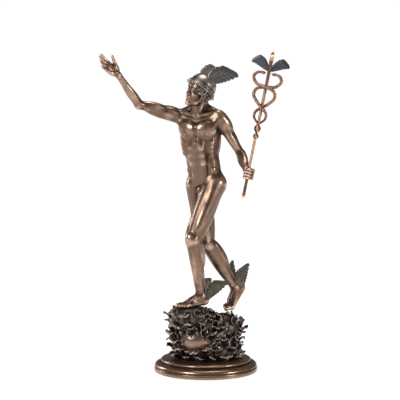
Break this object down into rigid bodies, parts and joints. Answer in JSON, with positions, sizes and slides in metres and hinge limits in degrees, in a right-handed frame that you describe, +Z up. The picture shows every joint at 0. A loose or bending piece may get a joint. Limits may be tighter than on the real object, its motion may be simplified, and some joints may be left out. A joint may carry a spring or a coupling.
{
  "type": "messenger figurine on a leafy rock and round plinth",
  "caption": "Bronze-look figurine of a striding messenger with winged helmet, winged heels and snake staff, on a leafy rock and a turned round plinth.",
  "frame": {"origin": "Middle of the plinth's flat underside, on the surface that the figurine stands on.", "axes": "+Z up. The work is seen from -Y. +X is the messenger's left, where the staff is, and the raised right arm reaches towards -X."},
  "size_m": [0.1756, 0.0976, 0.3047],
  "materials": {
    "plinth_bronze": "cold-cast bronze resin, polished brown with a soft shine",
    "dark_bronze": "cold-cast bronze resin, near black in the hollows and rubbed bright on the leaf tips",
    "bronze": "cold-cast bronze resin, warm brown with rubbed copper highlights and dark recesses",
    "copper_bronze": "cold-cast bronze resin, light copper rod, brown snakes and dark wings"
  },
  "bodies": {
    "root": {"plinth": "plinth_bronze", "leafy_rock": "dark_bronze", "messenger_figure": "bronze", "snake_staff": "copper_bronze"}
  },
  "joints": []
}
